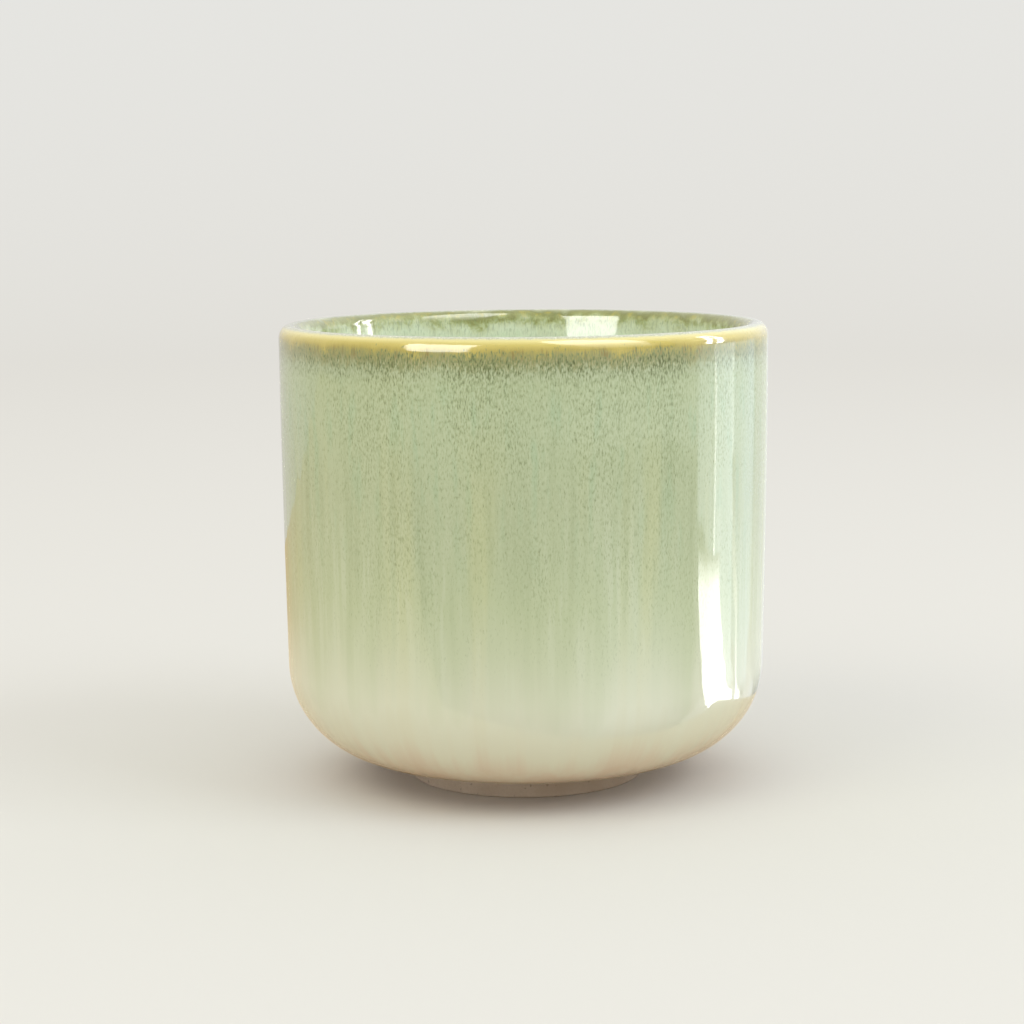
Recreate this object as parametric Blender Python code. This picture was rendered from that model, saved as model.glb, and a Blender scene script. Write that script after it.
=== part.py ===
"""A glazed stoneware brush holder pot: a round-heeled, nearly straight-sided beaker on a low foot ring.

The pot is a set of turned layers on one axis. Its finished surface is one line drawn in (radius, height),
from the foot ring, round the heel, up the wall, over the lip and down inside to the middle of the floor.
The glaze coats are thin shells just under that line, and the fired clay body fills what lies under them.

Metres and radians, +Z up. The origin is the middle of the circle that the foot ring stands on.
"""

from math import atan, atan2, cos, pi, sin, tan

import bmesh
import bpy
from mathutils import Matrix, Vector

# Driving dimensions of the finished surface. The wall's radius shrinks by WALL_LEAN for each metre below
# the lip, and by WALL_BARREL times the square of the depth.
RIM_RADIUS = 0.060
HEIGHT = 0.1127
LIP_HALF_THICKNESS = 0.00275
LIP_ROUND_HEIGHT = 0.0032
WALL_LEAN = 0.0044
WALL_BARREL = 0.09
HEEL_RADIUS = 0.0235
UNDERSIDE_SLOPE = 0.159
WALL_THICKNESS = 0.0064
INNER_HEEL_RADIUS = 0.0175
FLOOR_TOP = 0.0112
# The inside flares towards the mouth over this depth, as the wall thins to the lip's thickness.
FLARE_DEPTH = 0.017

# The foot ring, turned a little narrower at the table than at the body.
FOOT_RADIUS = 0.0296
FOOT_WIDTH = 0.0050
FOOT_HEIGHT = 0.0046
FOOT_EDGE = 0.0005
FOOT_TAPER = 0.0007

# The coats, the gap that touching pieces keep, and how far the rim's band reaches below the lip's round.
GLAZE = 0.0005
GAP = 0.0003
RIM_BAND_OUTSIDE = 0.0040
RIM_BAND_INSIDE = 0.0050

# How finely the round shapes are cut.
AROUND = 48
WALL_STEPS = 5
FLARE_STEPS = 3
HEEL_STEPS = 7
LIP_STEPS = 5
FLOOR_STEPS = 2
BISECTIONS = 60

ON_AXIS = 1e-9
SHARP_EDGE = pi / 6

LIP_BASE = HEIGHT - LIP_ROUND_HEIGHT
FLARE = WALL_THICKNESS - 2 * LIP_HALF_THICKNESS
FLARE_SLOPE = 2 * FLARE / FLARE_DEPTH
# The lip's round ends inside where it is as steep as the top of the flare.
LIP_ROUND_END = pi - atan(FLARE_SLOPE * LIP_ROUND_HEIGHT / LIP_HALF_THICKNESS)
CLAY_DEPTH = GLAZE + GAP
# The clay sits GAP above the foot ring and the base coat, and CLAY_DEPTH above the finished underside.
CLAY_SEAT = FOOT_HEIGHT + CLAY_DEPTH
SEAT_TOP = CLAY_SEAT - GAP

CLAY = ((0.80, 0.74, 0.66, 1.0), 0.75)
SAGE_GLAZE = ((0.50, 0.60, 0.40, 1.0), 0.10)
HONEY_GLAZE = ((0.55, 0.42, 0.13, 1.0), 0.08)
MINT_GLAZE = ((0.52, 0.68, 0.50, 1.0), 0.10)
CREAM_GLAZE = ((0.78, 0.75, 0.64, 1.0), 0.18)


def clear_scene():
    """Empties the scene and its unused meshes and materials."""
    for obj in list(bpy.data.objects):
        bpy.data.objects.remove(obj)
    for stale in list(bpy.data.meshes):
        bpy.data.meshes.remove(stale)
    for stale in list(bpy.data.materials):
        bpy.data.materials.remove(stale)


def material(name, finish):
    """A plain dielectric finish: (colour, roughness)."""
    colour, roughness = finish
    made = bpy.data.materials.new(name)
    made.use_nodes = True
    shader = made.node_tree.nodes["Principled BSDF"]
    shader.inputs["Base Color"].default_value = colour
    shader.inputs["Roughness"].default_value = roughness
    shader.inputs["Metallic"].default_value = 0.0
    return made


def unit(angle):
    return Vector((cos(angle), sin(angle)))


def wall_radius(z):
    """The outer wall leans in slightly and bellies as it goes down from the lip."""
    below = LIP_BASE - z
    return RIM_RADIUS - WALL_LEAN * below - WALL_BARREL * below * below


def wall_angle(z):
    """The direction in which the outer wall climbs at this height, from the +radius axis."""
    return atan2(1.0, WALL_LEAN + 2 * WALL_BARREL * (LIP_BASE - z))


def arc(centre, radius, start, end, steps):
    """(point, outward direction) pairs round an arc, both ends included."""
    angles = [start + (end - start) * i / steps for i in range(steps + 1)]
    return [(centre + unit(a) * radius, unit(a)) for a in angles]


def heel(z, radius, normal_shift):
    """The centre of a heel arc that touches the outer wall, moved in by normal_shift, at height z."""
    outward = wall_angle(z) - pi / 2
    return Vector((wall_radius(z), z)) - unit(outward) * (radius + normal_shift), outward


def bisect(is_too_low, low, high):
    for _ in range(BISECTIONS):
        middle = (low + high) / 2
        if is_too_low(middle):
            low = middle
        else:
            high = middle
    return (low + high) / 2


def outer_line():
    """The outside of the finished pot: underside, heel and wall, up to the foot of the lip's round."""
    start = Vector((FOOT_RADIUS, FOOT_HEIGHT))
    down = unit(UNDERSIDE_SLOPE - pi / 2)

    def arc_is_too_low(z):
        centre, _ = heel(z, HEEL_RADIUS, 0.0)
        return (centre - start).dot(down) + HEEL_RADIUS > 0

    touch = bisect(arc_is_too_low, FOOT_HEIGHT, LIP_BASE)
    centre, outward = heel(touch, HEEL_RADIUS, 0.0)
    line = [(start, down)]
    line += arc(centre, HEEL_RADIUS, UNDERSIDE_SLOPE - pi / 2, outward, HEEL_STEPS)
    for i in range(1, WALL_STEPS + 1):
        z = touch + (LIP_BASE - touch) * i / WALL_STEPS
        line.append((Vector((wall_radius(z), z)), unit(wall_angle(z) - pi / 2)))
    return line


def lip_line():
    """The lip's elliptical round, from the outer wall over the top to where the inside's flare meets it."""
    line = []
    outside = [pi / 2 * i / LIP_STEPS for i in range(LIP_STEPS)]
    inside = [pi / 2 + (LIP_ROUND_END - pi / 2) * i / LIP_STEPS for i in range(LIP_STEPS + 1)]
    for a in outside + inside:
        point = Vector((
            RIM_RADIUS - LIP_HALF_THICKNESS + LIP_HALF_THICKNESS * cos(a),
            LIP_BASE + LIP_ROUND_HEIGHT * sin(a),
        ))
        outward = Vector((cos(a) / LIP_HALF_THICKNESS, sin(a) / LIP_ROUND_HEIGHT)).normalized()
        line.append((point, outward))
    return line


def thickness(z):
    """The wall's thickness, which the flare takes down to the lip's."""
    share = min(1.0, (LIP_BASE - z) / FLARE_DEPTH)
    return WALL_THICKNESS - FLARE * (1 - share) ** 2


def inner_line():
    """The inside, from just below the lip's round down to the middle of the floor."""

    def arc_is_too_low(z):
        centre, _ = heel(z, INNER_HEEL_RADIUS, WALL_THICKNESS)
        return centre.y < FLOOR_TOP + INNER_HEEL_RADIUS

    touch = bisect(arc_is_too_low, FLOOR_TOP, LIP_BASE)
    centre, outward = heel(touch, INNER_HEEL_RADIUS, WALL_THICKNESS)
    line = []
    flare_end = LIP_BASE - FLARE_DEPTH
    flare = [LIP_BASE - FLARE_DEPTH * i / FLARE_STEPS for i in range(1, FLARE_STEPS)]
    wall = [flare_end + (touch - flare_end) * i / WALL_STEPS for i in range(WALL_STEPS)]
    for z in flare + wall:
        away = unit(wall_angle(z) - pi / 2)
        line.append((Vector((wall_radius(z), z)) - away * thickness(z), -away))
    line += [(point, -out) for point, out in arc(centre, INNER_HEEL_RADIUS, outward, -pi / 2, HEEL_STEPS)]
    edge = line[-1][0].x
    for i in range(1, FLOOR_STEPS + 1):
        line.append((Vector((edge * (1 - i / FLOOR_STEPS), FLOOR_TOP)), unit(pi / 2)))
    return line


def sunk(line, depth):
    """The line moved into the pot by depth."""
    return [point - outward * depth for point, outward in line]


def between(line, low, high):
    """The stretch of a rising or falling line with heights from low to high, cut exactly at both."""
    kept = []
    for (a, na), (b, nb) in zip(line, line[1:]):
        for z in sorted((low, high), reverse=b.y < a.y):
            if min(a.y, b.y) < z < max(a.y, b.y):
                share = (z - a.y) / (b.y - a.y)
                kept.append((a.lerp(b, share), na.lerp(nb, share).normalized()))
        if low <= b.y <= high:
            kept.append((b, nb))
    if low <= line[0][0].y <= high:
        kept.insert(0, line[0])
    return kept


def shell(line):
    """The closed outline of a coat under the line."""
    return [point for point, _ in line] + list(reversed(sunk(line, GLAZE)))


def turned(name, outline, finish):
    """Turns a closed (radius, height) outline, whose points on the axis are its ends, into one solid."""
    mesh = bmesh.new()
    columns = []
    for i in range(AROUND):
        turn = Matrix.Rotation(2 * pi * i / AROUND, 3, "Z")
        columns.append([
            None if p.x < ON_AXIS else mesh.verts.new(turn @ Vector((p.x, 0.0, p.y))) for p in outline
        ])
    poles = [mesh.verts.new((0.0, 0.0, p.y)) if p.x < ON_AXIS else None for p in outline]
    count = len(outline)
    for here, after in zip(columns, columns[1:] + columns[:1]):
        for j in range(count):
            k = (j + 1) % count
            ring = [here[j] or poles[j], after[j] or poles[j], after[k] or poles[k], here[k] or poles[k]]
            corners = list(dict.fromkeys(ring))
            if len(corners) > 2:
                mesh.faces.new(corners)
    bmesh.ops.recalc_face_normals(mesh, faces=mesh.faces)
    if mesh.calc_volume(signed=True) < 0:
        bmesh.ops.reverse_faces(mesh, faces=mesh.faces)
    data = bpy.data.meshes.new(name)
    mesh.to_mesh(data)
    mesh.free()
    data.shade_smooth()
    data.set_sharp_from_angle(angle=SHARP_EDGE)
    data.materials.append(finish)
    made = bpy.data.objects.new(name, data)
    bpy.context.scene.collection.objects.link(made)
    return made


def clay_body(outer, lip, inner):
    """The fired clay: wall, heel and floor, one piece, with a flat seat for the foot ring under it."""
    skin = sunk(outer + lip[1:] + inner, CLAY_DEPTH)
    skin = [p for p in skin if p.y > CLAY_SEAT]
    # The sloping underside runs down to the seat's edge.
    seat_edge = skin[0].x - (skin[0].y - CLAY_SEAT) / tan(UNDERSIDE_SLOPE)
    return turned(
        "clay_body",
        [Vector((0.0, CLAY_SEAT)), Vector((seat_edge, CLAY_SEAT))] + skin,
        material("stoneware", CLAY),
    )


def foot_ring():
    """The turned ring that the pot stands on, bare clay, with its standing edges eased."""
    outside = FOOT_RADIUS
    inside = FOOT_RADIUS - FOOT_WIDTH
    return turned(
        "foot_ring",
        [
            Vector((outside - FOOT_TAPER - FOOT_EDGE, 0.0)),
            Vector((outside - FOOT_TAPER, FOOT_EDGE)),
            Vector((outside, SEAT_TOP)),
            Vector((inside, SEAT_TOP)),
            Vector((inside + FOOT_TAPER, FOOT_EDGE)),
            Vector((inside + FOOT_TAPER + FOOT_EDGE, 0.0)),
        ],
        material("bare_foot", CLAY),
    )


def outer_glaze(outer):
    """The sage coat outside, from its edge beside the foot ring up to the rim's band."""
    corner, down = outer[0]
    edge = corner + unit(UNDERSIDE_SLOPE) * (2 * GAP)
    coat = between([(edge, down)] + outer[1:], 0.0, LIP_BASE - RIM_BAND_OUTSIDE - GAP)
    return turned("outer_glaze", shell(coat), material("sage_glaze", SAGE_GLAZE))


def rim_glaze(outer, lip, inner):
    """The honey-coloured band that caps the lip and laps down both sides."""
    outside = between(outer, LIP_BASE - RIM_BAND_OUTSIDE, LIP_BASE)
    inside = between([lip[-1]] + inner, LIP_BASE - RIM_BAND_INSIDE, LIP_BASE)
    return turned("rim_glaze", shell(outside + lip[1:] + inside[1:]), material("honey_glaze", HONEY_GLAZE))


def inner_glaze(lip, inner):
    """The mint liner coat, from the rim's band down the inside and across the floor."""
    coat = between([lip[-1]] + inner, 0.0, LIP_BASE - RIM_BAND_INSIDE - GAP)
    return turned("inner_glaze", shell(coat), material("mint_glaze", MINT_GLAZE))


def base_glaze():
    """The coat in the recess under the floor, inside the foot ring."""
    radius = FOOT_RADIUS - FOOT_WIDTH - GAP
    return turned(
        "base_glaze",
        [
            Vector((0.0, SEAT_TOP - GLAZE)),
            Vector((radius, SEAT_TOP - GLAZE)),
            Vector((radius, SEAT_TOP)),
            Vector((0.0, SEAT_TOP)),
        ],
        material("cream_glaze", CREAM_GLAZE),
    )


def main():
    clear_scene()
    outer, lip, inner = outer_line(), lip_line(), inner_line()
    clay_body(outer, lip, inner)
    foot_ring()
    outer_glaze(outer)
    rim_glaze(outer, lip, inner)
    inner_glaze(lip, inner)
    base_glaze()


main()
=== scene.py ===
"""The looks of the brush holder pot: its glazes, clay and foot ring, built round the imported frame.

Every piece is a closed solid turned on the pot's axis from the finished surface's line in
(radius, height). Each vertex also carries "flow", in millimetres: where it is round the pot, and how
far it lies from the lip's crest along the surface, downwards outside and negative inside. The glazes'
runs, hairs and flecks all follow it.
"""

from functools import reduce
from math import atan, atan2, cos, pi, radians, sin, tan

import bmesh
import bpy
import numpy as np
from mathutils import Matrix, Vector


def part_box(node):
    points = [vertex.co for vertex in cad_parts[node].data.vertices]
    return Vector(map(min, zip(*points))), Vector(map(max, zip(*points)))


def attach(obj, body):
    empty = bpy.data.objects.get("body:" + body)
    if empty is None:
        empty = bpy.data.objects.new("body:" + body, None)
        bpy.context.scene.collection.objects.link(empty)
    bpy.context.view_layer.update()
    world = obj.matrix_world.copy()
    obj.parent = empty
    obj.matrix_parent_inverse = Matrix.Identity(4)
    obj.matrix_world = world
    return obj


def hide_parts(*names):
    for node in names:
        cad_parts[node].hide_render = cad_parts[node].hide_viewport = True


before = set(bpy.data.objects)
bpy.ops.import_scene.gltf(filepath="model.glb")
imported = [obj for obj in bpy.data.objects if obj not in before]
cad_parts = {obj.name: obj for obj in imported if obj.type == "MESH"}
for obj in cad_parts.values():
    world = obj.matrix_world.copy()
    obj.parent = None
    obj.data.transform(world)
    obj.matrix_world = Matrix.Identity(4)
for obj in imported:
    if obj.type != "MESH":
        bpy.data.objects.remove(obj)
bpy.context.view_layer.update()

MM = 0.001

# What the frame gives, in metres.
_, RIM_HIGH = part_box("rim_glaze")
_, OUTER_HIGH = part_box("outer_glaze")
INNER_LOW, INNER_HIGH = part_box("inner_glaze")
_, FOOT_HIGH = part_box("foot_ring")
BASE_LOW, BASE_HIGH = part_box("base_glaze")
RIM_RADIUS = RIM_HIGH.x
HEIGHT = RIM_HIGH.z
FOOT_RADIUS = FOOT_HIGH.x
FOOT_HEIGHT = BASE_LOW.z
GLAZE = BASE_HIGH.z - BASE_LOW.z
FLOOR_TOP = INNER_LOW.z + GLAZE
SEAM_OUTSIDE = OUTER_HIGH.z
SEAM_INSIDE = INNER_HIGH.z

# The finished surface's shape, the same as the CAD's, in metres and radians.
LIP_HALF_THICKNESS = 0.00275
LIP_ROUND_HEIGHT = 0.0032
# The wall's radius shrinks below the lip by the first times the depth, and the second times its square.
WALL_LEAN = 0.0044
WALL_BARREL = 0.09
HEEL_RADIUS = 0.0235
UNDERSIDE_SLOPE = 0.159
WALL_THICKNESS = 0.0064
INNER_HEEL_RADIUS = 0.0175
FLARE_DEPTH = 0.017
FOOT_WIDTH = 0.0050
FOOT_TAPER = 0.0007
LIP_BASE = HEIGHT - LIP_ROUND_HEIGHT
FLARE = WALL_THICKNESS - 2 * LIP_HALF_THICKNESS
LIP_ROUND_END = pi - atan(2 * FLARE / FLARE_DEPTH * LIP_ROUND_HEIGHT / LIP_HALF_THICKNESS)

# The turned foot ring's rounded edges and tool grooves, and the base coat's meniscus.
FOOT_ROUND = 0.5 * MM
GROOVE_DEPTH = 0.012 * MM
GROOVE_PITCH = 0.45 * MM
MENISCUS = 1.1 * MM

# How finely the pieces are cut.
AROUND = 560
FOOT_AROUND = 360
BASE_AROUND = 256
HEEL_STEPS = 36
WALL_STEPS = 64
LIP_STEPS = 16
FLARE_STEPS = 12
FLOOR_STEPS = 16
BEAD_STEPS = 6
FOOT_STEPS = 40
FOOT_INNER_EDGE_STEPS = 8
FOOT_OUTER_EDGE_STEPS = 10
BASE_STEPS = 24
MENISCUS_STEPS = 10
# A coat's unseen side has one point for this many of its face's.
BACK_EVERY = 4
BISECTIONS = 60
# Nearer the axis than this a ring closes to a point.
ON_AXIS = 1e-9
SHARP_ANGLE = radians(50)

# The clay keeps this much clear of its coats, and the base coat of the foot ring.
FIT = 0.05 * MM
# The outer coat's lower edge stays this much clear of the foot ring.
FOOT_GAP = 0.25 * MM
# Inside this radius the flow shrinks with the radius, so that the runs keep their width there.
RUN_RADIUS = 0.052


# ---------------------------------------------------------------- the finished surface's line


def unit(angle):
    return Vector((cos(angle), sin(angle)))


def wall_radius(z):
    below = LIP_BASE - z
    return RIM_RADIUS - WALL_LEAN * below - WALL_BARREL * below * below


def wall_angle(z):
    """The direction in which the outer wall climbs at this height, from the +radius axis."""
    return atan2(1.0, WALL_LEAN + 2 * WALL_BARREL * (LIP_BASE - z))


def arc(centre, radius, start, end, steps):
    """(point, outward direction) pairs round an arc, both ends included."""
    angles = [start + (end - start) * i / steps for i in range(steps + 1)]
    return [(centre + unit(a) * radius, unit(a)) for a in angles]


def heel(z, radius, normal_shift):
    """The centre and end angle of an arc that touches the wall, moved in by normal_shift, at height z."""
    outward = wall_angle(z) - pi / 2
    return Vector((wall_radius(z), z)) - unit(outward) * (radius + normal_shift), outward


def bisect(is_too_low, low, high):
    """The place between low and high where is_too_low changes from true to false."""
    for _ in range(BISECTIONS):
        middle = (low + high) / 2
        if is_too_low(middle):
            low = middle
        else:
            high = middle
    return (low + high) / 2


def outer_line():
    """The outside, from beside the foot ring, round the heel and up the wall."""
    start = Vector((FOOT_RADIUS, FOOT_HEIGHT))
    down = unit(UNDERSIDE_SLOPE - pi / 2)

    def arc_is_too_low(z):
        centre, _ = heel(z, HEEL_RADIUS, 0.0)
        return (centre - start).dot(down) + HEEL_RADIUS > 0

    touch = bisect(arc_is_too_low, FOOT_HEIGHT, LIP_BASE)
    centre, outward = heel(touch, HEEL_RADIUS, 0.0)
    round_heel = arc(centre, HEEL_RADIUS, UNDERSIDE_SLOPE - pi / 2, outward, HEEL_STEPS)
    run_up = round_heel[0][0] - start
    line = [(start + run_up * i / HEEL_STEPS, down) for i in range(HEEL_STEPS)] + round_heel
    for i in range(1, WALL_STEPS + 1):
        z = touch + (LIP_BASE - touch) * i / WALL_STEPS
        line.append((Vector((wall_radius(z), z)), unit(wall_angle(z) - pi / 2)))
    return line


def lip_line():
    """The lip's elliptical round, from the outer wall over the top to the inside's flare."""
    line = []
    outside = [pi / 2 * i / LIP_STEPS for i in range(LIP_STEPS)]
    inside = [pi / 2 + (LIP_ROUND_END - pi / 2) * i / LIP_STEPS for i in range(LIP_STEPS + 1)]
    for a in outside + inside:
        point = Vector((
            RIM_RADIUS - LIP_HALF_THICKNESS + LIP_HALF_THICKNESS * cos(a),
            LIP_BASE + LIP_ROUND_HEIGHT * sin(a),
        ))
        outward = Vector((cos(a) / LIP_HALF_THICKNESS, sin(a) / LIP_ROUND_HEIGHT)).normalized()
        line.append((point, outward))
    return line


def inner_line():
    """The inside, from just below the lip's round down to the middle of the floor."""

    def arc_is_too_low(z):
        centre, _ = heel(z, INNER_HEEL_RADIUS, WALL_THICKNESS)
        return centre.y < FLOOR_TOP + INNER_HEEL_RADIUS

    touch = bisect(arc_is_too_low, FLOOR_TOP, LIP_BASE)
    centre, outward = heel(touch, INNER_HEEL_RADIUS, WALL_THICKNESS)
    flare_end = LIP_BASE - FLARE_DEPTH
    flare = [LIP_BASE - FLARE_DEPTH * i / FLARE_STEPS for i in range(FLARE_STEPS)]
    wall = [flare_end + (touch - flare_end) * i / WALL_STEPS for i in range(WALL_STEPS)]
    line = []
    for z in flare + wall:
        away = unit(wall_angle(z) - pi / 2)
        share = min(1.0, (LIP_BASE - z) / FLARE_DEPTH)
        thickness = WALL_THICKNESS - FLARE * (1 - share) ** 2
        tilt = Vector((0, 2 * FLARE / FLARE_DEPTH * (1 - share)))
        line.append((Vector((wall_radius(z), z)) - away * thickness, (tilt - away).normalized()))
    line += [(point, -out) for point, out in arc(centre, INNER_HEEL_RADIUS, outward, -pi / 2, HEEL_STEPS)]
    edge = line[-1][0].x
    for i in range(1, FLOOR_STEPS + 1):
        line.append((Vector((edge * (1 - i / FLOOR_STEPS), FLOOR_TOP)), unit(pi / 2)))
    return line


def measured(outer, lip, inner):
    """The whole line, foot first, as (point, outward, distance from the crest), below 0 inside."""
    whole = outer + lip[1:] + inner
    lengths = [0.0]
    for (a, _), (b, _) in zip(whole, whole[1:]):
        lengths.append(lengths[-1] + (b - a).length)
    crest = lengths[max(range(len(whole)), key=lambda i: whole[i][0].y)]
    return [(point, outward, crest - far) for (point, outward), far in zip(whole, lengths)]


def cut(line, far_start, far_end):
    """The stretch of the line from one distance to a smaller one, cut exactly at both."""
    kept = []
    for (a, a_out, a_far), (b, b_out, b_far) in zip(line, line[1:]):
        for far in (far_start, far_end):
            if b_far < far < a_far:
                share = (far - a_far) / (b_far - a_far)
                kept.append((a.lerp(b, share), a_out.lerp(b_out, share).normalized(), far))
        if far_end <= b_far <= far_start:
            kept.append((b, b_out, b_far))
    if line[0][2] <= far_start:
        kept.insert(0, line[0])
    return kept


def distance_at(line, z, outside):
    """The distance from the crest at which the line's outside or inside has this height."""
    for (a, _, a_far), (b, _, b_far) in zip(line, line[1:]):
        right_side = a_far > 0 if outside else a_far < 0
        if right_side and min(a.y, b.y) <= z <= max(a.y, b.y) and a.y != b.y:
            return a_far + (b_far - a_far) * (z - a.y) / (b.y - a.y)


# ---------------------------------------------------------------- the glaze's uneven surface


def smooth(x, low, high):
    t = np.clip((x - low) / (high - low), 0.0, 1.0)
    return t * t * (3 - 2 * t)


class Runs:
    """Shallow vertical ripples where the glaze ran, and a slow unevenness of the whole wall."""

    RIPPLES = 46
    # A ripple goes round the pot in this many waves. The widest one has this height, and the others'
    # heights fall with this power of their width.
    FEWEST, MOST = 12, 120
    RIPPLE_HEIGHT = 0.010 * MM
    WIDTH_POWER = 0.9
    SLOW_WAVES = 5
    SLOW_HEIGHT = 0.045 * MM
    # Down the wall each wave sways by this phase in radians, once in this length in metres.
    SWAY = (0.4, 1.6)
    LENGTHS = (0.05, 0.16)

    def __init__(self, seed):
        draw = np.random.default_rng(seed)
        ripples = draw.integers(self.FEWEST, self.MOST, self.RIPPLES)
        slow = np.arange(2, 2 + self.SLOW_WAVES)
        self.waves = np.concatenate([ripples, slow])
        heights = self.RIPPLE_HEIGHT * (self.FEWEST / ripples) ** self.WIDTH_POWER
        self.heights = np.concatenate([heights, self.SLOW_HEIGHT / slow])
        self.phases = draw.uniform(0, 2 * pi, len(self.waves))
        self.sways = draw.uniform(*self.SWAY, len(self.waves))
        self.lengths = draw.uniform(*self.LENGTHS, len(self.waves))
        self.starts = draw.uniform(0, 2 * pi, len(self.waves))

    def height(self, turn, far):
        """The surface's lift, in metres, at a turn angle and a distance from the crest."""
        total = np.zeros_like(turn)
        for i, wave in enumerate(self.waves):
            sway = self.sways[i] * np.sin(2 * pi * far / self.lengths[i] + self.starts[i])
            total += self.heights[i] * np.cos(wave * turn + self.phases[i] + sway)
        return total


RUNS = Runs(seed=11)
# The runs' strength on the lip's crest, and what it gains outside and inside, over these distances.
ON_CREST, GAIN_OUTSIDE, GAIN_INSIDE = 0.30, 0.70, 0.30
CREST_CALM = (0.0005, 0.006)
# The radii between which the runs grow from nothing to their full height.
FOOT_CALM = (0.026, 0.034)


def lift(turn, far, radius):
    """The runs' height, calmed on the crest, inside, towards the foot and in the middle of the floor."""
    gain = GAIN_OUTSIDE if far > 0 else GAIN_INSIDE
    strength = ON_CREST + gain * smooth(abs(far), *CREST_CALM)
    return RUNS.height(turn, far) * strength * smooth(radius, *FOOT_CALM)


# ---------------------------------------------------------------- turning


def turned(name, outline, around=AROUND):
    """Turns a closed outline of (point, outward, distance, has runs) into one solid, with its flow."""
    turns = np.arange(around) * 2 * pi / around
    verts, flow, rings = [], [], []
    for point, outward, far, has_runs in outline:
        start = len(verts)
        if point.x < ON_AXIS:
            verts.append((0.0, 0.0, point.y))
            flow.append((0.0, 0.0, far / MM))
            rings.append(np.full(around, start))
            continue
        rise = lift(turns, far, point.x) if has_runs else np.zeros(around)
        radius = point.x + outward.x * rise
        height = point.y + outward.y * rise
        verts.extend(np.column_stack([radius * np.cos(turns), radius * np.sin(turns), height]).tolist())
        reach = RIM_RADIUS * min(1.0, point.x / RUN_RADIUS) / MM
        down = np.full(around, far / MM)
        flow.extend(np.column_stack([reach * np.cos(turns), reach * np.sin(turns), down]).tolist())
        rings.append(np.arange(start, start + around))
    faces = []
    for low, high in zip(rings, rings[1:] + rings[:1]):
        quads = np.column_stack([low, np.roll(low, -1), np.roll(high, -1), high])
        for quad in quads.tolist():
            corners = list(dict.fromkeys(quad))
            if len(corners) > 2:
                faces.append(corners)
    mesh = bpy.data.meshes.new(name)
    mesh.from_pydata(verts, [], faces)
    attribute = mesh.attributes.new("flow", "FLOAT_VECTOR", "POINT")
    attribute.data.foreach_set("vector", np.array(flow, np.float32).ravel())
    outward_faces(mesh)
    mesh.shade_smooth()
    mesh.set_sharp_from_angle(angle=SHARP_ANGLE)
    made = bpy.data.objects.new(name, mesh)
    bpy.context.scene.collection.objects.link(made)
    return made


def outward_faces(mesh):
    """Makes every face of a closed mesh look outwards."""
    work = bmesh.new()
    work.from_mesh(mesh)
    bmesh.ops.recalc_face_normals(work, faces=work.faces)
    if work.calc_volume(signed=True) < 0:
        bmesh.ops.reverse_faces(work, faces=work.faces)
    work.to_mesh(mesh)
    work.free()


def face_of(line):
    """The line as a coat's face, which has the runs."""
    return [(point, outward, far, True) for point, outward, far in line]


def bare(line):
    """(point, outward) pairs as an outline without runs, all at no distance from the crest."""
    return [(point, outward, 0.0, False) for point, outward in line]


def back_of(line, depth):
    """A coarser copy of the line, sunk by depth and run the other way, for a coat's unseen side."""
    picked = line[:-1:BACK_EVERY] + [line[-1]]
    sunk = [(point - outward * depth, outward, far, False) for point, outward, far in picked]
    return list(reversed(sunk))


def bead(end, depth):
    """A half-round edge from the coat's unseen side to its face, at the line's first point."""
    point, outward, far = end
    along = Vector((outward.y, -outward.x))
    middle = point - outward * depth / 2
    edge = []
    for i in range(1, BEAD_STEPS):
        a = pi * i / BEAD_STEPS
        away = -outward * cos(a) + along * sin(a)
        edge.append((middle + away * depth / 2, away, far, False))
    return edge


def coat(name, line, bead_at_start=False):
    """A glaze coat under a stretch of the finished line."""
    edge = bead(line[0], GLAZE) if bead_at_start else []
    return turned(name, face_of(line) + back_of(line, GLAZE) + edge)


# ---------------------------------------------------------------- the pieces


def clay_body(line):
    """The fired clay under the coats, with a flat seat for the foot ring and the base coat."""
    seat = BASE_HIGH.z + FIT
    depth = GLAZE + FIT
    skin = [(point - outward * depth, outward, far, False) for point, outward, far in line]
    skin = [entry for entry in skin if entry[0].y > seat]
    first, _, far, _ = skin[0]
    seat_edge = first.x - (first.y - seat) / tan(UNDERSIDE_SLOPE)
    down = Vector((0.0, -1.0))
    seat_line = [(Vector((r, seat)), down, far, False) for r in (0.0, seat_edge / 2, seat_edge)]
    return turned("clay_core", seat_line + skin)


def foot_ring():
    """The turned foot, with rounded edges and the fine grooves that a turning tool leaves."""
    outside, inside, top = FOOT_RADIUS, FOOT_RADIUS - FOOT_WIDTH, FOOT_HIGH.z
    inner_edge = Vector((inside + FOOT_TAPER + FOOT_ROUND, FOOT_ROUND))
    outer_edge = Vector((outside - FOOT_TAPER - FOOT_ROUND, FOOT_ROUND))
    line = [(Vector((inside, top)), unit(pi))]
    line += arc(inner_edge, FOOT_ROUND, pi, 3 * pi / 2, FOOT_INNER_EDGE_STEPS)
    line += arc(outer_edge, FOOT_ROUND, -pi / 2, 0.0, FOOT_OUTER_EDGE_STEPS)
    for i in range(1, FOOT_STEPS + 1):
        z = FOOT_ROUND + (top - FOOT_ROUND) * i / FOOT_STEPS
        r = outside - FOOT_TAPER * (top - z) / (top - FOOT_ROUND)
        groove = GROOVE_DEPTH * (1 - cos(2 * pi * z / GROOVE_PITCH)) / 2
        line.append((Vector((r - groove, z)), unit(0.0)))
    return turned("foot_ring_turned", bare(line), FOOT_AROUND)


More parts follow.
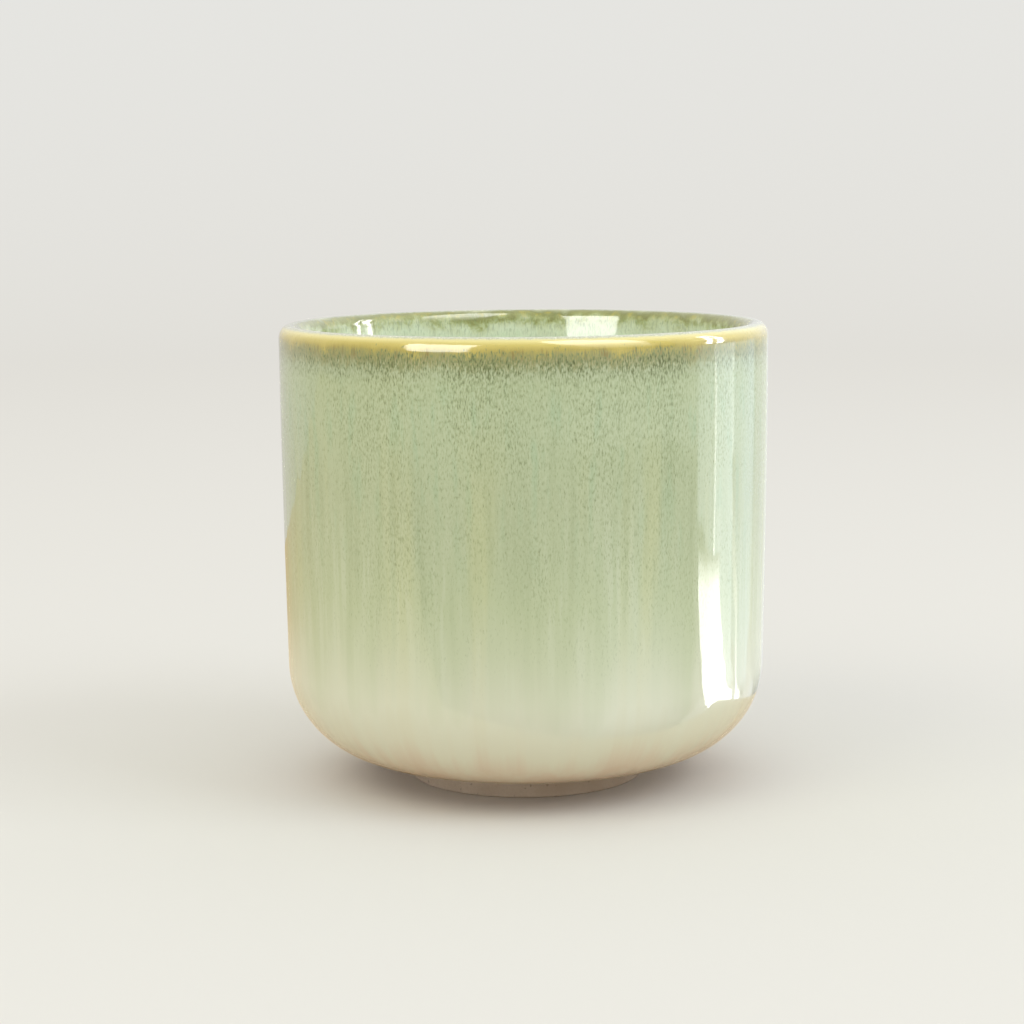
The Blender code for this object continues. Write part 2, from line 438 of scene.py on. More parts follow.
def base_coat():
    """The coat in the recess under the floor, with its meniscus on the foot ring's inner wall."""
    radius = FOOT_RADIUS - FOOT_WIDTH - FIT
    flat = radius - MENISCUS
    face, back = BASE_LOW.z, BASE_HIGH.z
    line = [(Vector((flat * i / BASE_STEPS, face)), unit(-pi / 2)) for i in range(BASE_STEPS + 1)]
    hollow = arc(Vector((flat, face - MENISCUS)), MENISCUS, pi / 2, 0.0, MENISCUS_STEPS)
    line += [(point, -outward) for point, outward in hollow[1:]]
    line += [(Vector((radius, back)), unit(0.0)), (Vector((0.0, back)), unit(pi / 2))]
    return turned("base_coat", bare(line), BASE_AROUND)


# ---------------------------------------------------------------- materials


# At this scale a noise's blobs are about two of its vector's units across.
NOISE_SCALE = 0.5
WHITE = (1.0, 1.0, 1.0, 1.0)


def srgb(red, green, blue):
    """A linear colour from display values of 0 to 255."""
    shares = [value / 255 for value in (red, green, blue)]
    return tuple(v / 12.92 if v <= 0.04045 else ((v + 0.055) / 1.055) ** 2.4 for v in shares) + (1.0,)


class Nodes:
    """A material's node tree, with short calls for the nodes that the materials are made of."""

    def __init__(self, name):
        self.material = bpy.data.materials.new(name)
        self.material.use_nodes = True
        self.tree = self.material.node_tree
        self.shader = self.tree.nodes["Principled BSDF"]

    def node(self, kind, **settings):
        made = self.tree.nodes.new(kind)
        for key, value in settings.items():
            setattr(made, key, value)
        return made

    def feed(self, socket, value):
        """Links a socket into another, or sets its value."""
        if isinstance(value, bpy.types.NodeSocket):
            self.tree.links.new(value, socket)
        else:
            socket.default_value = value

    def place(self):
        """The place on the object, in metres."""
        return self.node("ShaderNodeTexCoord").outputs["Object"]

    def flow(self):
        return self.node("ShaderNodeAttribute", attribute_name="flow").outputs["Vector"]

    def split(self, vector):
        made = self.node("ShaderNodeSeparateXYZ")
        self.feed(made.inputs[0], vector)
        return made.outputs

    def maths(self, operation, a, b=0.0, c=0.0):
        made = self.node("ShaderNodeMath", operation=operation)
        for socket, value in zip(made.inputs, (a, b, c)):
            self.feed(socket, value)
        return made.outputs[0]

    def times(self, a, b):
        return self.maths("MULTIPLY", a, b)

    def around_half(self, value, weight, base):
        """base plus weight times how far the value is from a half."""
        return self.maths("MULTIPLY_ADD", self.maths("SUBTRACT", value, 0.5), weight, base)

    def warped(self, vector, size, amount):
        """The vector, pushed about by up to half the amount, in swirls of about twice the size."""
        swirls = self.node("ShaderNodeTexNoise")
        self.feed(swirls.inputs["Vector"], vector)
        swirls.inputs["Scale"].default_value = NOISE_SCALE / size
        swirls.inputs["Detail"].default_value = 1.0
        centred = self.node("ShaderNodeVectorMath", operation="SUBTRACT")
        self.feed(centred.inputs[0], swirls.outputs["Color"])
        centred.inputs[1].default_value = (0.5, 0.5, 0.5)
        pushed = self.node("ShaderNodeVectorMath", operation="MULTIPLY_ADD")
        self.feed(pushed.inputs[0], centred.outputs[0])
        pushed.inputs[1].default_value = (amount, amount, amount)
        self.feed(pushed.inputs[2], vector)
        return pushed.outputs[0]

    def noise(self, vector, across, along, detail=2.0, roughness=0.5, offset=0.0):
        """Noise in blobs of about twice these sizes, across the first two axes and along the third.

        The sizes are in the vector's own units, millimetres for flow. An offset picks another pattern.
        """
        place = self.node("ShaderNodeMapping")
        self.feed(place.inputs["Vector"], vector)
        place.inputs["Scale"].default_value = (1 / across, 1 / across, 1 / along)
        place.inputs["Location"].default_value = (offset, -offset, 2 * offset)
        made = self.node("ShaderNodeTexNoise")
        self.feed(made.inputs["Vector"], place.outputs[0])
        made.inputs["Scale"].default_value = NOISE_SCALE
        made.inputs["Detail"].default_value = detail
        made.inputs["Roughness"].default_value = roughness
        return made.outputs["Fac"]

    def rise(self, value, low, high, start=0.0, end=1.0):
        """Eases from start to end as the value goes from low to high."""
        made = self.node("ShaderNodeMapRange", interpolation_type="SMOOTHSTEP")
        for name, given in (("Value", value), ("From Min", low), ("From Max", high)):
            self.feed(made.inputs[name], given)
        made.inputs["To Min"].default_value = start
        made.inputs["To Max"].default_value = end
        return made.outputs["Result"]

    def fall(self, value, low, high):
        """Eases from 1 to 0 as the value goes from low to high."""
        return self.rise(value, low, high, start=1.0, end=0.0)

    def bell(self, value, low, middle, high):
        """1 at the middle, easing to 0 at low and high."""
        return self.times(self.rise(value, low, middle), self.fall(value, middle, high))

    def ramp(self, value, stops):
        """A colour by distance, from (millimetres, colour) stops."""
        longest = stops[-1][0]
        made = self.node("ShaderNodeValToRGB")
        self.feed(made.inputs["Fac"], self.maths("DIVIDE", value, longest))
        elements = made.color_ramp.elements
        while len(elements) < len(stops):
            elements.new(0.5)
        for element, (place, colour) in zip(elements, stops):
            element.position = place / longest
            element.color = colour
        return made.outputs["Color"]

    def level(self, value, stops):
        """A number by distance, from (millimetres, number) stops between 0 and 1."""
        grey = [(place, (number, number, number, 1.0)) for place, number in stops]
        made = self.node("ShaderNodeSeparateColor")
        self.feed(made.inputs[0], self.ramp(value, grey))
        return made.outputs[0]

    def mix(self, share, a, b):
        made = self.node("ShaderNodeMixRGB")
        self.feed(made.inputs["Fac"], share)
        self.feed(made.inputs["Color1"], a)
        self.feed(made.inputs["Color2"], b)
        return made.outputs["Color"]

    def tinted(self, colour, tint, *shares):
        """The colour with a tint over it, as strong as the product of the shares."""
        return self.mix(reduce(self.times, shares), colour, tint)

    def bump(self, height, distance, normal=None):
        made = self.node("ShaderNodeBump")
        made.inputs["Distance"].default_value = distance
        self.feed(made.inputs["Height"], height)
        if normal is not None:
            self.feed(made.inputs["Normal"], normal)
        return made.outputs["Normal"]


class Finish(Nodes):
    """A surface material, with a clear coat where it is glazed."""

    IOR, COAT_IOR = 1.5, 1.52
    SPECULAR_BARE, SPECULAR_UNDER_COAT = 0.4, 0.15

    def __init__(self, name, roughness, coat=0.0, coat_roughness=0.03):
        super().__init__(name)
        specular = self.SPECULAR_UNDER_COAT if coat else self.SPECULAR_BARE
        self.shader.inputs["Roughness"].default_value = roughness
        self.shader.inputs["IOR"].default_value = self.IOR
        self.shader.inputs["Specular IOR Level"].default_value = specular
        self.shader.inputs["Coat Weight"].default_value = coat
        self.shader.inputs["Coat Roughness"].default_value = coat_roughness
        self.shader.inputs["Coat IOR"].default_value = self.COAT_IOR

    def finish(self, colour, roughness=None, normal=None):
        self.feed(self.shader.inputs["Base Color"], colour)
        if roughness is not None:
            self.feed(self.shader.inputs["Roughness"], roughness)
        if normal is not None:
            self.feed(self.shader.inputs["Normal"], normal)
            self.feed(self.shader.inputs["Coat Normal"], normal)
        return self.material


class Glow(Nodes):
    """An emission material for reflections, which the light sampling leaves alone."""

    def __init__(self, name):
        super().__init__(name)
        self.tree.nodes.remove(self.shader)
        self.shader = self.node("ShaderNodeEmission")
        self.feed(self.tree.nodes["Material Output"].inputs["Surface"], self.shader.outputs[0])
        self.material.cycles.emission_sampling = "NONE"

    def shining(self, colour, strength):
        self.feed(self.shader.inputs["Color"], colour)
        self.feed(self.shader.inputs["Strength"], strength)
        return self.material


# Glaze colours down the outside, by millimetres from the crest. Near the crest and round the heel's
# underside some of them also hold painted light.
OUTSIDE = [
    (0.0, srgb(196, 196, 156)),
    # The pale yellow at 1.2 to 2 mm is partly the glaze breaking thin over the crest and partly a painted
    # highlight of light from above.
    (1.2, srgb(212, 208, 160)),
    (2.0, srgb(228, 215, 144)),
    (3.0, srgb(205, 188, 104)),
    (4.1, srgb(186, 170, 92)),
    (5.1, srgb(164, 158, 98)),
    (6.4, srgb(150, 148, 98)),
    (7.7, srgb(158, 158, 112)),
    (9.2, srgb(170, 178, 140)),
    (12.0, srgb(178, 188, 148)),
    (20.0, srgb(180, 190, 152)),
    (38.0, srgb(181, 189, 152)),
    (50.0, srgb(183, 191, 154)),
    (61.0, srgb(188, 196, 158)),
    (72.0, srgb(197, 203, 169)),
    (80.0, srgb(206, 209, 180)),
    (88.0, srgb(214, 214, 189)),
    (97.0, srgb(214, 211, 185)),
    # From 104 mm on, round the heel's underside, the peach is partly the glaze's cream and partly a
    # painted warm reflection of a wooden board.
    (104.0, srgb(212, 198, 172)),
    (112.0, srgb(208, 184, 158)),
    (130.0, srgb(200, 174, 148)),
]
FLECK = srgb(130, 142, 98)
DARK_FLECK = srgb(98, 102, 62)
RUST = srgb(140, 112, 56)
PALE_HAIR = srgb(202, 210, 176)
TEAL = srgb(160, 186, 150)
CREAM_STREAK = srgb(200, 198, 144)
MILK = srgb(212, 216, 190)
# How strong the fleck noise must be to show, by millimetres from the crest: low is crowded.
FLECK_LEVELS = [
    (0.0, 0.90),
    (3.6, 0.72),
    (5.0, 0.57),
    (7.0, 0.49),
    (9.5, 0.50),
    (13.0, 0.54),
    (30.0, 0.55),
    (55.0, 0.57),
    (75.0, 0.62),
    (95.0, 0.80),
]
# How much of the flecks' colour shows, by millimetres from the crest.
FLECK_WEIGHTS = [
    (0.0, 0.90),
    (7.5, 0.85),
    (12.0, 0.42),
    (25.0, 0.36),
    (50.0, 0.28),
    (75.0, 0.14),
    (100.0, 0.0),
]
# Where each pattern outside starts, is strongest and ends, in millimetres from the crest.
FRINGE = (3.2, 6.5, 14.0)
FRINGE_DRIFT = (2.2, 5.5, 12.0)
RUST_ZONE = (3.2, 5.2, 8.5)
PALE_HAIR_ZONE = (4.0, 9.0, 80.0)
TEAL_ZONE = (7.0, 20.0, 70.0)
SHADE_ZONE = (8.0, 40.0, 95.0)
CREAM_ZONE = (10.0, 50.0, 110.0)
MILK_ZONE = (20.0, 70.0, 110.0)

# Glaze colours down the inside, by millimetres below the crest.
INSIDE = [
    (0.0, srgb(196, 196, 156)),
    (0.8, srgb(160, 164, 124)),
    (1.6, srgb(140, 142, 90)),
    (3.0, srgb(158, 160, 102)),
    (4.0, srgb(188, 194, 142)),
    (5.2, srgb(212, 218, 182)),
    (7.5, srgb(222, 230, 202)),
    (14.0, srgb(216, 232, 196)),
    (40.0, srgb(208, 224, 186)),
    (95.0, srgb(194, 212, 174)),
    (150.0, srgb(184, 204, 166)),
]
INSIDE_HAIR = srgb(120, 134, 82)
GOLD = srgb(188, 170, 76)
CREST_GREY = srgb(150, 156, 136)
CREST_WHITE = srgb(226, 230, 216)
# Where each pattern inside starts, is strongest and ends, in millimetres below the crest.
MOTTLE = (0.6, 4.0, 16.0)
INSIDE_FRINGE = (1.0, 4.0, 12.0)
GOLD_ZONE = (0.8, 2.4, 5.0)
INSIDE_HAIR_ZONE = (1.2, 3.5, 12.0)

# The bare clay's and the base coat's colours.
CLAY_PALE, CLAY_DARK = srgb(214, 202, 184), srgb(196, 182, 162)
# The foot ring is the same bare clay, painted darker and browner: painted shade from under the pot's
# heel.
SHADED_FOOT_PALE, SHADED_FOOT_DARK = srgb(206, 190, 170), srgb(182, 162, 138)
CLAY_SPECK = srgb(110, 92, 74)
BASE_SHADE, BASE_PALE = srgb(204, 200, 172), srgb(222, 214, 190)
BASE_SPECK = srgb(168, 160, 128)


def outside_glaze(made, flow, far):
    """(colour, relief) outside: honey at the lip, partly a painted highlight near the crest, an olive
    fringe of hairs, sage, and a cream heel whose peach underside is partly a painted warm reflection.
    """
    bent = made.warped(flow, size=2.0, amount=0.5)
    hair = made.noise(bent, across=0.15, along=1.1, roughness=0.6)
    finger = made.noise(bent, across=0.7, along=4.0, offset=3.0)
    streak = made.noise(flow, across=5.0, along=100.0, detail=3.0, roughness=0.6, offset=9.0)
    drift = made.noise(flow, across=4.0, along=60.0, offset=41.0)

    # The honey ends in hairs and fingers, and the fade to cream in streaks.
    fringe = made.bell(far, *FRINGE)
    hung = made.around_half(hair, made.times(fringe, 6.0), far)
    hung = made.around_half(finger, made.times(fringe, 4.0), hung)
    hung = made.around_half(drift, made.times(made.bell(far, *FRINGE_DRIFT), 5.0), hung)
    faded = made.around_half(streak, made.rise(far, 30.0, 72.0, end=30.0), hung)
    colour = made.ramp(faded, OUTSIDE)

    # Soft runs of other shades, down most of the wall.
    teal = made.noise(bent, across=1.1, along=8.0, offset=11.0)
    thread = made.noise(bent, across=1.3, along=22.0, detail=2.5, roughness=0.6, offset=31.0)
    for tint, pattern, zone, strength in (
        (TEAL, made.rise(teal, 0.50, 0.72), TEAL_ZONE, 0.40),
        (CREAM_STREAK, made.rise(streak, 0.50, 0.66), CREAM_ZONE, 0.35),
        (FLECK, made.rise(thread, 0.48, 0.70), SHADE_ZONE, 0.16),
        (MILK, made.fall(thread, 0.32, 0.48), MILK_ZONE, 0.30),
    ):
        colour = made.tinted(colour, tint, pattern, made.bell(far, *zone), strength)
    rusty = made.times(made.rise(finger, 0.50, 0.66), made.rise(hair, 0.42, 0.60))
    colour = made.tinted(colour, RUST, rusty, made.bell(far, *RUST_ZONE), 0.6)

    # Fine flecks, crowded at the fringe and in patches, and pale hairs between them.
    grain = made.noise(bent, across=0.16, along=0.50, detail=1.5, roughness=0.55, offset=5.0)
    patch = made.noise(flow, across=5.0, along=18.0, detail=1.0, offset=7.0)
    least = made.around_half(patch, -0.22, made.level(far, FLECK_LEVELS))
    over = made.maths("SUBTRACT", grain, least)
    weight = made.level(far, FLECK_WEIGHTS)
    colour = made.tinted(colour, FLECK, made.rise(over, -0.06, 0.10), weight)
    colour = made.tinted(colour, DARK_FLECK, made.rise(over, 0.08, 0.20), weight)
    pale = made.fall(grain, 0.34, 0.46)
    colour = made.tinted(colour, PALE_HAIR, pale, made.bell(far, *PALE_HAIR_ZONE), 0.35)
    return colour, made.times(grain, made.rise(far, 20.0, 70.0, start=1.0, end=0.2))


def inside_glaze(made, flow, far):
    """(colour, relief) inside: olive mottling with dark hairs under the crest, then mint."""
    depth = made.times(far, -1.0)
    bent = made.warped(flow, size=1.6, amount=1.0)
    hair = made.noise(bent, across=0.20, along=0.9, offset=13.0)
    blotch = made.noise(bent, across=1.6, along=1.3, detail=3.0, roughness=0.6, offset=17.0)
    wide = made.noise(flow, across=6.0, along=60.0, offset=23.0)
    grain = made.noise(bent, across=0.22, along=0.7, offset=43.0)

    shifted = made.around_half(blotch, made.times(made.bell(depth, *MOTTLE), 9.0), depth)
    shifted = made.around_half(hair, made.times(made.bell(depth, *INSIDE_FRINGE), 3.0), shifted)
    shifted = made.around_half(wide, made.rise(depth, 1.0, 30.0, start=6.0, end=30.0), shifted)
    colour = made.ramp(shifted, INSIDE)
    golden = made.rise(blotch, 0.52, 0.66)
    colour = made.tinted(colour, GOLD, golden, made.bell(depth, *GOLD_ZONE), 0.5)
    dark = made.rise(hair, 0.48, 0.64)
    colour = made.tinted(colour, INSIDE_HAIR, dark, made.bell(depth, *INSIDE_HAIR_ZONE), 0.45)
    colour = made.tinted(colour, TEAL, made.rise(grain, 0.50, 0.66), made.rise(depth, 4.0, 10.0), 0.22)
    return colour, hair


def crest_specks(made, flow, far, colour):
    """The colour with the grey line along the crest, full of white specks, where the glaze ran thin."""
    speck = made.noise(flow, across=0.16, along=0.14, detail=1.5, offset=19.0)
    grey = made.mix(made.rise(speck, 0.46, 0.62), CREST_GREY, CREST_WHITE)
    edge = made.noise(flow, across=0.8, along=0.8, offset=37.0)
    shifted = made.around_half(edge, 1.2, far)
    return made.tinted(colour, grey, made.rise(shifted, -1.3, -0.7), made.fall(shifted, 1.1, 1.6), 0.62)


def glaze(name, side):
    """A glaze finish: outside, inside, or the rim's, which is both with the change at the crest."""
    made = Finish(name, roughness=0.32, coat=1.0, coat_roughness=0.02)
    flow = made.flow()
    far = made.split(flow)["Z"]
    if side == "outside":
        colour, relief = outside_glaze(made, flow, far)
    elif side == "inside":
        colour, relief = inside_glaze(made, flow, far)
    else:
        out_colour, out_relief = outside_glaze(made, flow, far)
        in_colour, in_relief = inside_glaze(made, flow, far)
        outside = made.rise(far, -0.35, 0.35)
        inside = made.maths("SUBTRACT", 1.0, outside)
        colour = crest_specks(made, flow, far, made.mix(outside, in_colour, out_colour))
        relief = made.maths("MULTIPLY_ADD", outside, out_relief, made.times(inside, in_relief))
    peel = made.noise(flow, across=1.6, along=2.6, detail=1.0, offset=29.0)
    normal = made.bump(relief, 0.006 * MM)
    normal = made.bump(peel, 0.010 * MM, normal)
    roughness = made.rise(relief, 0.3, 0.7, start=0.26, end=0.40)
    return made.finish(colour, roughness, normal)


def bare_clay(name, pale, dark, grain):
    """Fired clay: fine grain, dark specks and slow blotches, on the piece's own coordinates."""
    made = Finish(name, roughness=0.72)
    place = made.place()
    fine = made.noise(place, across=grain, along=grain, detail=3.0, roughness=0.65)
    slow = made.noise(place, across=9 * MM, along=9 * MM, offset=3.0)
    speck = made.noise(place, across=0.5 * MM, along=0.5 * MM, detail=0.0, offset=5.0)
    colour = made.mix(made.rise(slow, 0.3, 0.7), dark, pale)
    colour = made.tinted(colour, dark, made.rise(fine, 0.35, 0.7), 0.35)
    colour = made.tinted(colour, CLAY_SPECK, made.rise(speck, 0.74, 0.80), 0.4)
    roughness = made.rise(fine, 0.3, 0.7, start=0.62, end=0.82)
    return made.finish(colour, roughness, made.bump(fine, 0.03 * MM))


def cream_glaze():
    """The satin glaze of the recess under the floor, cloudy and lightly specked."""
    made = Finish("cream_glaze", roughness=0.34, coat=0.6, coat_roughness=0.12)
    place = made.place()
    cloud = made.noise(place, across=5 * MM, along=5 * MM, detail=3.0)
    fine = made.noise(place, across=0.6 * MM, along=0.6 * MM, offset=3.0)
    colour = made.mix(made.rise(cloud, 0.35, 0.65), BASE_SHADE, BASE_PALE)
    colour = made.tinted(colour, BASE_SPECK, made.rise(fine, 0.6, 0.72), 0.3)
    roughness = made.rise(fine, 0.3, 0.7, start=0.28, end=0.42)
    return made.finish(colour, roughness, made.bump(cloud, 0.02 * MM))


# ---------------------------------------------------------------- stage


FLOOR_RADII = (0.0, 0.1, 0.25, 0.45)
# A hair under the foot, so that the two faces don't coincide.
FLOOR_LEVEL = -0.02 * MM
STAGE_RADIUS = 2.6
STAGE_SWEEP = 1.1
STAGE_TOP = 2.4
SWEEP_STEPS = 16
STAGE_AROUND = 96
STAGE_NEAR, STAGE_FAR = srgb(221, 218, 211), srgb(226, 225, 221)
STAGE_CHANGE = (1.2, 2.8)
# The corners of the wood-coloured board that the glaze mirrors: right, behind, far left and near left.
BOARD = [(0.104, -0.017, 0.0), (-0.020, 0.37, 0.0), (-1.2, 0.37, 0.0), (-1.076, -0.769, 0.0)]
# The board is painted paler and brighter near the pot and darker further off: painted light, standing for
# daylight falling on the board near the pot.
BOARD_LIT_NEAR, BOARD_DIM_FAR = srgb(224, 207, 178), srgb(194, 172, 132)
BOARD_LIGHT_FADE = (0.12, 0.28)


def added(name, verts, faces):
    """A stage object, which isn't part of the pot."""
    mesh = bpy.data.meshes.new(name)
    mesh.from_pydata(verts, [], faces)
    made = bpy.data.objects.new(name, mesh)
    bpy.context.scene.collection.objects.link(made)
    return made


def only_mirrored(thing):
    """Only the glaze's reflections see this."""
    thing.visible_camera = False
    thing.visible_diffuse = False
    thing.visible_transmission = False
    thing.visible_volume_scatter = False
    thing.visible_shadow = False


def ring_surface(name, profile):
    """A surface turned from (radius, height) points, its normals towards the axis and up."""
    verts = []
    for r, z in profile:
        for i in range(STAGE_AROUND):
            turn = 2 * pi * i / STAGE_AROUND
            verts.append((r * cos(turn), r * sin(turn), z))
    faces = []
    for row in range(len(profile) - 1):
        low, high = row * STAGE_AROUND, (row + 1) * STAGE_AROUND
        for i in range(STAGE_AROUND):
            j = (i + 1) % STAGE_AROUND
            faces.append((low + i, high + i, high + j, low + j))
    made = added(name, verts, faces)
    made.data.shade_smooth()
    return made


def painted(name, near, far, change):
    """A matte paint that goes from one colour to another between two distances from the pot's foot."""
    made = Finish(name, roughness=0.9)
    made.shader.inputs["Specular IOR Level"].default_value = 0.0
    distance = made.node("ShaderNodeVectorMath", operation="LENGTH")
    made.feed(distance.inputs[0], made.place())
    return made.finish(made.mix(made.rise(distance.outputs["Value"], *change), near, far))


def stage():
    """A round pale floor that sweeps up into a pale wall, and the board that the glaze mirrors.

    Of these only the floor shades the pot.
    """
    floor = ring_surface("stage_floor", [(r, FLOOR_LEVEL) for r in FLOOR_RADII])
    sweep_radius = STAGE_RADIUS - STAGE_SWEEP
    sweep = [(FLOOR_RADII[-1], FLOOR_LEVEL), (sweep_radius, 0.0)]
    for i in range(1, SWEEP_STEPS + 1):
        a = pi / 2 * i / SWEEP_STEPS - pi / 2
        sweep.append((sweep_radius + STAGE_SWEEP * cos(a), STAGE_SWEEP + STAGE_SWEEP * sin(a)))
    sweep.append((STAGE_RADIUS, STAGE_TOP))
    wall = ring_surface("stage_wall", sweep)
    paint = painted("stage_paint", STAGE_NEAR, STAGE_FAR, STAGE_CHANGE)
    for surface in (floor, wall):
        surface.data.materials.append(paint)
        surface.visible_glossy = False
    wall.visible_diffuse = False
    wall.visible_shadow = False

    board = added("mirrored_board", BOARD, [(0, 1, 2, 3)])
    # The board's paint carries painted light: bright near the pot, dim further off.
    board.data.materials.append(painted("board_paint_lit_near", BOARD_LIT_NEAR, BOARD_DIM_FAR, BOARD_LIGHT_FADE))
    only_mirrored(board)


# ---------------------------------------------------------------- light


POT_MIDDLE = Vector((0.0, 0.0, HEIGHT / 2))
ROOM_RADIUS = 2.0
LAMP_DISTANCE = 1.8
LAMP_SIZE = 1.0
CARD_STEPS = 20
# The light's tints. The lamps take three numbers, the rest four.
DAYLIGHT = (0.985, 0.99, 1.0, 1.0)
KEY_TINT = (0.90, 1.0, 1.10)
FILL_TINT = (1.0, 0.98, 0.72)
ROOM_LEFT, ROOM_RIGHT = (1.0, 0.96, 0.88, 1.0), (0.95, 0.98, 1.0, 1.0)
COOL = (0.88, 1.0, 1.10, 1.0)
PLAIN = (0.98, 1.0, 0.95, 1.0)


def direction(azimuth, elevation):
    """A direction from the pot: azimuth from the camera's side towards the right, in degrees."""
    a, e = radians(azimuth), radians(elevation)
    return Vector((sin(a) * cos(e), -cos(a) * cos(e), sin(e)))


def card(name, rows, brightness, tint=WHITE, distance=1.6, fade=0.0):
    """A bright pane for reflections only, of (elevation, left azimuth, right azimuth, light) rows.

    The light fades out at both sides over the given share of the width.
    """
    verts, faces, shares = [], [], []
    for elevation, left, right, share in rows:
        for i in range(CARD_STEPS + 1):
            azimuth = left + (right - left) * i / CARD_STEPS
            verts.append(POT_MIDDLE + direction(azimuth, elevation) * distance)
            inside = min(i, CARD_STEPS - i) / CARD_STEPS
            shares.append(share * (min(1.0, inside / fade) if fade else 1.0))
    for row in range(len(rows) - 1):
        for i in range(CARD_STEPS):
            low = row * (CARD_STEPS + 1) + i
            high = low + CARD_STEPS + 1
            faces.append((low, low + 1, high + 1, high))
    pane = added(name, verts, faces)
    attribute = pane.data.attributes.new("share", "FLOAT", "POINT")
    attribute.data.foreach_set("value", shares)
    made = Glow(name)
    share = made.node("ShaderNodeAttribute", attribute_name="share").outputs["Fac"]
    pane.data.materials.append(made.shining(tint, made.times(share, brightness)))
    only_mirrored(pane)


def room():
    """What the glaze mirrors all round: dim in front, brighter behind, to the right and overhead."""
    work = bmesh.new()
    bmesh.ops.create_icosphere(work, subdivisions=4, radius=ROOM_RADIUS)
    ball = added("mirrored_room", [], [])
    work.to_mesh(ball.data)
    work.free()
    made = Glow("mirrored_room")
    across, back, up = made.split(made.place())
    shine = made.rise(across, -0.4, 1.6, end=0.50)
    shine = made.maths("ADD", shine, made.rise(back, -1.0, 1.4, end=0.55))
    shine = made.maths("ADD", shine, made.rise(up, -0.3, 1.6, start=0.12, end=0.55))
    tint = made.mix(made.rise(across, -1.2, 1.2), ROOM_LEFT, ROOM_RIGHT)
    ball.data.materials.append(made.shining(tint, shine))
    only_mirrored(ball)


def lamp(name, azimuth, elevation, power, tint):
    """A soft square lamp aimed at the pot. The glaze mirrors the cards instead of it."""
    data = bpy.data.lights.new(name, "AREA")
    data.shape = "SQUARE"
    data.size = LAMP_SIZE
    data.energy = power
    data.color = tint
    made = bpy.data.objects.new(name, data)
    bpy.context.scene.collection.objects.link(made)
    towards = direction(azimuth, elevation)
    made.location = POT_MIDDLE + towards * LAMP_DISTANCE
    made.rotation_mode = "QUATERNION"
    made.rotation_quaternion = towards.to_track_quat("Z", "Y")
    made.visible_glossy = False
    made.visible_camera = False


def windows():
    """The windows and pale surfaces that the glaze mirrors, mostly on the right."""
    card("window_right_low", brightness=9.0, rows=[
        (-33.4, 115, 116, 1),
        (-26.2, 101, 115.5, 1),
        (-25.1, 97.5, 120.3, 1),
        (-17.3, 92, 114.1, 1),
        (-10.7, 87.6, 103.5, 1),
        (-9.3, 87, 102.5, 0.1),
    ])
    card("window_right_dim", brightness=1.9, tint=COOL, distance=1.7, rows=[
        (-10, 86, 99, 1),
        (2, 86, 99, 1),
    ])
    card("window_right_bar", brightness=9.5, distance=1.65, rows=[
        (-10.5, 98.2, 99.3, 1),
        (2, 97.8, 98.9, 0.6),
    ])
    card("window_right_rail", brightness=7.0, distance=1.65, rows=[
        (-8, 112.4, 113, 1),
        (2, 112.4, 113, 0.7),
    ])
    for left, right, brightness, tint in (
        (99, 113, 2.9, COOL),
        (113, 133, 1.6, COOL),
        (133, 165, 1.0, PLAIN),
    ):
        card(f"window_right_{left}", brightness=brightness, tint=tint, distance=1.75, rows=[
            (-22, right - 1, right, 0),
            (-12, left, right, 1),
            (2, left, right, 1),
        ])
    card("window_right_edge", brightness=6.0, rows=[
        (-25, 128, 132, 1),
        (-16, 119, 122.5, 0.8),
        (-9.6, 113.5, 116.5, 0.4),
        (-6, 112, 115, 0.1),
    ])
    card("window_right_high", brightness=20.0, rows=[
        (4, 91.5, 94.5, 1),
        (11, 91.5, 95, 1),
        (40, 106, 110.5, 1),
    ])
    card("window_right_pane", brightness=16.0, rows=[
        (4, 98.5, 101.5, 1),
        (15, 102.5, 106, 1),
        (40, 113, 116, 1),
    ])
    card("window_left", brightness=11.0, rows=[
        (0, -51, -24, 0.8),
        (46, -63, -23.5, 1),
    ])
    card("skylight", brightness=8.0, rows=[
        (17, 34, 62, 0.15),
        (37, 26, 64, 0.5),
        (50, 20, 72, 1),
        (62, 14, 80, 1),
        (78, 24, 80, 1),
    ])
    card("glow_right_high", brightness=2.0, distance=1.7, fade=0.3, rows=[
        (4, 16, 72, 0),
        (24, 14, 74, 0.7),
        (50, 10, 78, 1),
    ])
    card("glow_right_low", brightness=1.3, tint=COOL, distance=1.7, fade=0.42, rows=[
        (-62, 20, 92, 0),
        (-34, 12, 92, 1),
        (-14, 10, 92, 0.9),
        (-6, 12, 92, 0),
    ])


def lighting():
    """Soft daylight from all round, a little more of it from the right, and what the glaze mirrors."""
    world = bpy.data.worlds.new("daylight")
    bpy.context.scene.world = world
    world.use_nodes = True
    sky = world.node_tree.nodes["Background"]
    sky.inputs["Color"].default_value = DAYLIGHT
    sky.inputs["Strength"].default_value = 1.0
    lamp("key", azimuth=66, elevation=36, power=7.5, tint=KEY_TINT)
    lamp("fill", azimuth=-50, elevation=44, power=4.2, tint=FILL_TINT)
    room()
    windows()


# ---------------------------------------------------------------- camera


# Metres behind the foot's centre and over the floor, radians, and millimetres.
CAMERA_BACK, CAMERA_HEIGHT = 0.59409, 0.14807
PITCH, ROLL, YAW = 0.13813, -0.00835, -0.00528
LENS, SENSOR = 84.81, 36.0


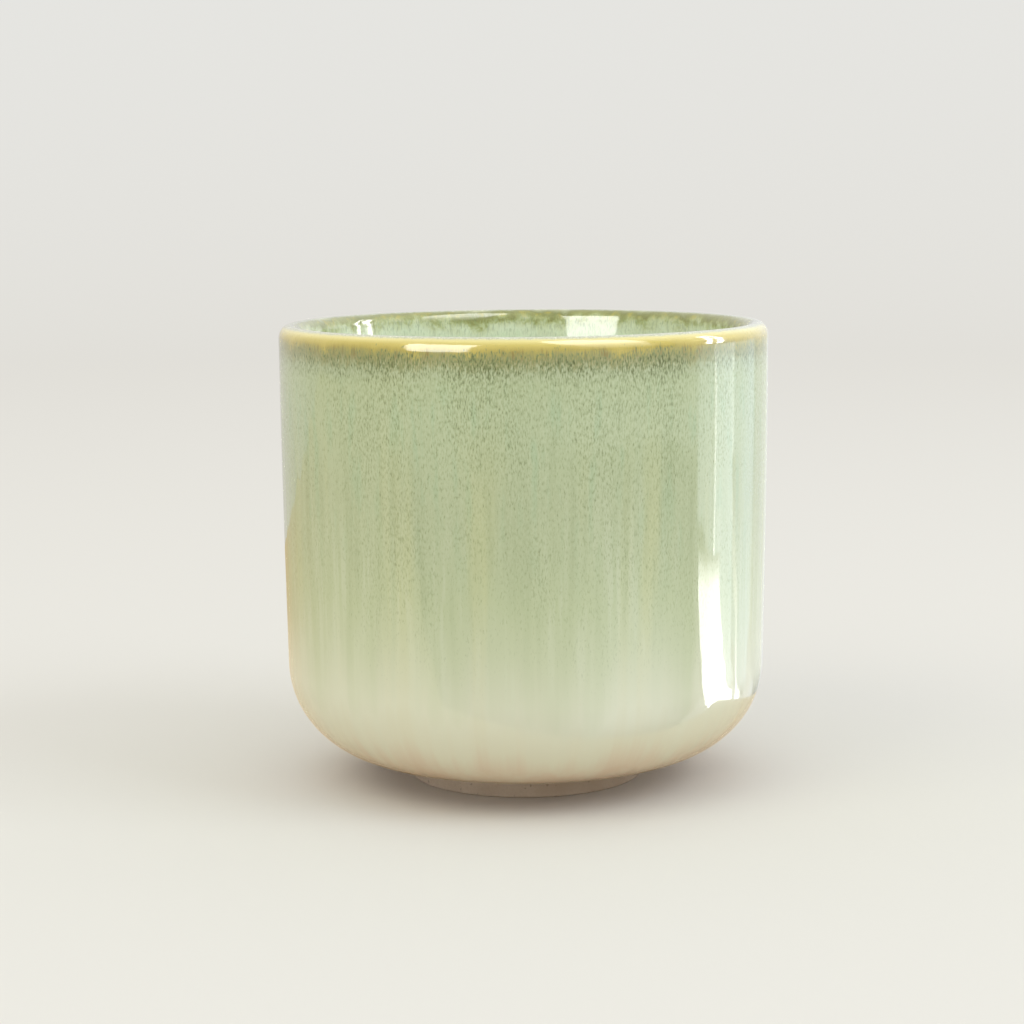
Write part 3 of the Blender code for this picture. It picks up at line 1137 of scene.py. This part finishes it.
def camera():
    """The camera, a little above the lip and looking slightly down at the pot."""
    towards = Vector((sin(YAW) * cos(PITCH), cos(YAW) * cos(PITCH), -sin(PITCH)))
    level = towards.cross(Vector((0, 0, 1))).normalized()
    over = level.cross(towards)
    right = level * cos(ROLL) + over * sin(ROLL)
    up = over * cos(ROLL) - level * sin(ROLL)
    data = bpy.data.cameras.new("camera")
    data.lens = LENS
    data.sensor_width = SENSOR
    made = bpy.data.objects.new("camera", data)
    bpy.context.scene.collection.objects.link(made)
    turned_to = Matrix((right, up, -towards)).transposed().to_4x4()
    made.matrix_world = Matrix.Translation((0, -CAMERA_BACK, CAMERA_HEIGHT)) @ turned_to
    bpy.context.scene.camera = made


# ---------------------------------------------------------------- the whole


def place(piece, node, slot, material):
    piece.data.materials.append(material)
    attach(piece, "root")
    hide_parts(node)


def pot():
    """All six pieces, each in the place of its CAD node."""
    line = measured(outer_line(), lip_line(), inner_line())
    lower_edge = line[0][2] - FOOT_GAP - GLAZE / 2
    seam_out = distance_at(line, SEAM_OUTSIDE, True)
    seam_in = distance_at(line, SEAM_INSIDE, False)
    floor_middle = line[-1][2]

    stoneware = bare_clay("stoneware", CLAY_PALE, CLAY_DARK, 0.7 * MM)
    place(clay_body(line), "clay_body", "stoneware", stoneware)
    # The foot ring's clay colours carry painted shade from under the heel.
    bare_foot = bare_clay("bare_foot", SHADED_FOOT_PALE, SHADED_FOOT_DARK, 0.35 * MM)
    place(foot_ring(), "foot_ring", "bare_foot", bare_foot)

    outer_coat = coat("outer_coat", cut(line, lower_edge, seam_out), bead_at_start=True)
    place(outer_coat, "outer_glaze", "sage_glaze", glaze("sage_glaze", "outside"))
    rim_coat = coat("rim_coat", cut(line, seam_out, seam_in))
    place(rim_coat, "rim_glaze", "honey_glaze", glaze("honey_glaze", "both"))
    inner_coat = coat("inner_coat", cut(line, seam_in, floor_middle))
    place(inner_coat, "inner_glaze", "mint_glaze", glaze("mint_glaze", "inside"))
    place(base_coat(), "base_glaze", "cream_glaze", cream_glaze())


pot()
stage()
lighting()
camera()
bpy.context.scene.view_settings.view_transform = "Standard"
